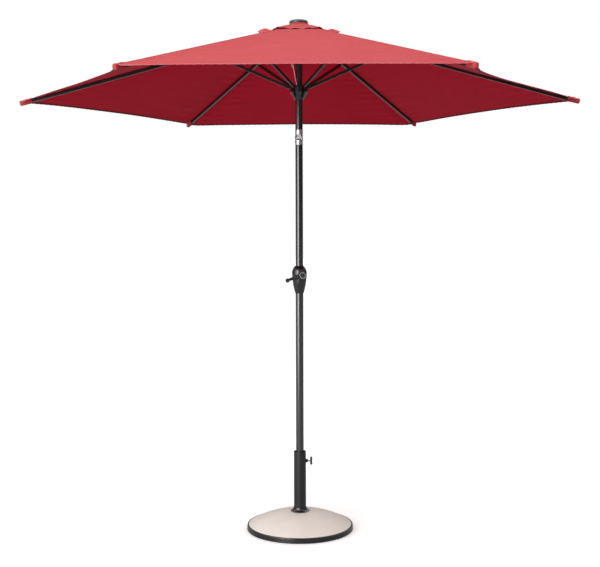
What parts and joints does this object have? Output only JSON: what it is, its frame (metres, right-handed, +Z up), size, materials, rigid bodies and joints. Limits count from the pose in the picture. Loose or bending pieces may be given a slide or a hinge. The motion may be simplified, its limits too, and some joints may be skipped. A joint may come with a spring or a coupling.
{
  "type": "patio umbrella with base",
  "caption": "Free-standing garden parasol: hexagonal vented canopy on folding ribs, tilting two-part pole with crank lift, and a round weighted base.",
  "frame": {"origin": "on the ground, on the pole's axis, at the middle of the canopy's plan", "axes": "+Z up along the pole; the crank, its grip and the user are on -Y; the clamp knob is on +X; two ribs lie along +X and -X"},
  "size_m": [2.7256, 2.3624, 2.48],
  "materials": {
    "canopy_red": "matte",
    "frame_black": "satin",
    "pole_black": "satin",
    "black_plastic": "matte",
    "grey_plastic": "satin",
    "silver_joint": "satin",
    "steel_parts": "satin",
    "base_beige": "satin",
    "ballast_concrete": "matte",
    "rubber_pads": "matte",
    "cord_pink": "matte",
    "disc_white": "gloss"
  },
  "bodies": {
    "base": {"base_rim": "black_plastic", "base_cover": "base_beige", "ballast": "ballast_concrete", "base_pads": "rubber_pads", "base_tube": "frame_black", "flange_bolts": "steel_parts", "collar": "black_plastic"},
    "clamp_knob": {"clamp_screw": "steel_parts", "knob_handle": "black_plastic"},
    "pole_sleeve": {"pole_sleeve": "black_plastic"},
    "lower_pole": {"foot_plug": "black_plastic", "lower_tube": "pole_black", "housing_front": "black_plastic", "housing_back": "black_plastic", "housing_screws": "steel_parts", "middle_tube": "pole_black", "tilt_socket": "silver_joint", "tilt_pin": "steel_parts", "button_spring": "steel_parts"},
    "crank": {"crank_arm": "frame_black", "winding_drum": "grey_plastic", "crank_cap": "black_plastic", "crank_ring": "disc_white", "brake_spring": "steel_parts"},
    "crank_grip": {"crank_grip": "black_plastic"},
    "tilt_button": {"tilt_button": "black_plastic"},
    "upper_pole": {"tilt_knuckle": "silver_joint", "upper_tube": "pole_black", "top_hub": "black_plastic", "hub_pins": "steel_parts", "pulley_pin": "steel_parts", "finial": "grey_plastic", "inner_cord": "cord_pink", "lift_cord": "cord_pink"},
    "pulley": {"pulley": "grey_plastic"},
    "runner": {"runner": "black_plastic"},
    "rib_1": {"rib_1": "frame_black", "rib_1_fittings": "black_plastic", "canopy_panel_1": "canopy_red"},
    "strut_1": {"strut_1": "frame_black"},
    "rib_2": {"rib_2": "frame_black", "rib_2_fittings": "black_plastic", "canopy_panel_2": "canopy_red"},
    "strut_2": {"strut_2": "frame_black"},
    "rib_3": {"rib_3": "frame_black", "rib_3_fittings": "black_plastic", "canopy_panel_3": "canopy_red"},
    "strut_3": {"strut_3": "frame_black"},
    "rib_4": {"rib_4": "frame_black", "rib_4_fittings": "black_plastic", "canopy_panel_4": "canopy_red"},
    "strut_4": {"strut_4": "frame_black"},
    "rib_5": {"rib_5": "frame_black", "rib_5_fittings": "black_plastic", "canopy_panel_5": "canopy_red"},
    "strut_5": {"strut_5": "frame_black"},
    "rib_6": {"rib_6": "frame_black", "rib_6_fittings": "black_plastic", "canopy_panel_6": "canopy_red"},
    "strut_6": {"strut_6": "frame_black"}
  },
  "joints": [
    {"name": "clamp_knob_turn", "type": "hinge", "parent": "base", "child": "clamp_knob", "pos_m": [0.04, 0, 0.33], "axis": [1, 0, 0], "continuous": true},
    {"name": "pole_swivel", "type": "hinge", "parent": "base", "child": "pole_sleeve", "pos_m": [0, 0, 0.3], "axis": [0, 0, 1], "continuous": true},
    {"name": "pole_lift", "type": "slide", "parent": "pole_sleeve", "child": "lower_pole", "axis": [0, 0, 1], "range_m": [0, 0.28]},
    {"name": "crank_turn", "type": "hinge", "parent": "lower_pole", "child": "crank", "pos_m": [0.016, -0.045, 1.235], "axis": [0, -1, 0], "range_deg": [-2522, 2]},
    {"name": "crank_grip_spin", "type": "hinge", "parent": "crank", "child": "crank_grip", "pos_m": [-0.056, -0.075, 1.212], "axis": [0, -1, 0], "continuous": true},
    {"name": "tilt_button_press", "type": "slide", "parent": "lower_pole", "child": "tilt_button", "axis": [0.9063, 0.4226, 0], "range_m": [0, 0.0016], "stiffness_N_per_m": 600, "springref_m": -0.0005, "deforming": ["button_spring"]},
    {"name": "canopy_tilt", "type": "hinge", "parent": "lower_pole", "child": "upper_pole", "pos_m": [0, 0, 1.905], "axis": [-1, 0, 0], "range_deg": [0, 30], "deforming": ["inner_cord"]},
    {"name": "canopy_fold_1", "type": "hinge", "parent": "upper_pole", "child": "rib_1", "pos_m": [0.035, 0, 2.434], "axis": [0, -1, 0], "range_deg": [-67.8, 0], "deforming": ["canopy_panel_1"]},
    {"name": "strut_turn_1", "type": "hinge", "parent": "rib_1", "child": "strut_1", "pos_m": [0.41576, 0, 2.30982], "axis": [0, -1, 0], "range_deg": [-0.1, 130.23]},
    {"name": "canopy_fold_2", "type": "hinge", "parent": "upper_pole", "child": "rib_2", "pos_m": [0.0175, 0.03031, 2.434], "axis": [0.866, -0.5, 0], "range_deg": [-67.9, 0.1], "deforming": ["canopy_panel_2"]},
    {"name": "strut_turn_2", "type": "hinge", "parent": "rib_2", "child": "strut_2", "pos_m": [0.20788, 0.36006, 2.30982], "axis": [0.866, -0.5, 0], "range_deg": [-0.1, 130.23]},
    {"name": "canopy_fold_3", "type": "hinge", "parent": "upper_pole", "child": "rib_3", "pos_m": [-0.0175, 0.03031, 2.434], "axis": [0.866, 0.5, 0], "range_deg": [-67.9, 0.1], "deforming": ["canopy_panel_3"]},
    {"name": "strut_turn_3", "type": "hinge", "parent": "rib_3", "child": "strut_3", "pos_m": [-0.20788, 0.36006, 2.30982], "axis": [0.866, 0.5, 0], "range_deg": [-0.1, 130.23]},
    {"name": "canopy_fold_4", "type": "hinge", "parent": "upper_pole", "child": "rib_4", "pos_m": [-0.035, 0, 2.434], "axis": [0, 1, 0], "range_deg": [-67.9, 0.1], "deforming": ["canopy_panel_4"]},
    {"name": "strut_turn_4", "type": "hinge", "parent": "rib_4", "child": "strut_4", "pos_m": [-0.41576, 0, 2.30982], "axis": [0, 1, 0], "range_deg": [-0.1, 130.23]},
    {"name": "canopy_fold_5", "type": "hinge", "parent": "upper_pole", "child": "rib_5", "pos_m": [-0.0175, -0.03031, 2.434], "axis": [-0.866, 0.5, 0], "range_deg": [-67.9, 0.1], "deforming": ["canopy_panel_5"]},
    {"name": "strut_turn_5", "type": "hinge", "parent": "rib_5", "child": "strut_5", "pos_m": [-0.20788, -0.36006, 2.30982], "axis": [-0.866, 0.5, 0], "range_deg": [-0.1, 130.23]},
    {"name": "canopy_fold_6", "type": "hinge", "parent": "upper_pole", "child": "rib_6", "pos_m": [0.0175, -0.03031, 2.434], "axis": [-0.866, -0.5, 0], "range_deg": [-67.9, 0.1], "deforming": ["canopy_panel_6"]},
    {"name": "strut_turn_6", "type": "hinge", "parent": "rib_6", "child": "strut_6", "pos_m": [0.20788, -0.36006, 2.30982], "axis": [-0.866, -0.5, 0], "range_deg": [-0.1, 130.23]},
    {"name": "runner_slide", "type": "slide", "parent": "upper_pole", "child": "runner", "axis": [0, 0, 1], "range_m": [-0.52306, 0.0005], "deforming": ["lift_cord"]},
    {"name": "pulley_turn", "type": "hinge", "parent": "upper_pole", "child": "pulley", "pos_m": [-0.01905, -0.011, 2.42], "axis": [0.5, -0.866, 0], "range_deg": [-1499.02, 2]}
  ],
  "couplings": [
    {"joint": "strut_turn_1", "follows": "canopy_fold_1", "ratio": -1.9178},
    {"joint": "canopy_fold_2", "follows": "canopy_fold_1", "ratio": 1},
    {"joint": "strut_turn_2", "follows": "canopy_fold_1", "ratio": -1.9178},
    {"joint": "canopy_fold_3", "follows": "canopy_fold_1", "ratio": 1},
    {"joint": "strut_turn_3", "follows": "canopy_fold_1", "ratio": -1.9178},
    {"joint": "canopy_fold_4", "follows": "canopy_fold_1", "ratio": 1},
    {"joint": "strut_turn_4", "follows": "canopy_fold_1", "ratio": -1.9178},
    {"joint": "canopy_fold_5", "follows": "canopy_fold_1", "ratio": 1},
    {"joint": "strut_turn_5", "follows": "canopy_fold_1", "ratio": -1.9178},
    {"joint": "canopy_fold_6", "follows": "canopy_fold_1", "ratio": 1},
    {"joint": "strut_turn_6", "follows": "canopy_fold_1", "ratio": -1.9178},
    {"joint": "runner_slide", "follows": "canopy_fold_1", "m_per_rad": 0.4416},
    {"joint": "crank_turn", "follows": "canopy_fold_1", "ratio": 37.168},
    {"joint": "pulley_turn", "follows": "canopy_fold_1", "ratio": 22.08}
  ]
}
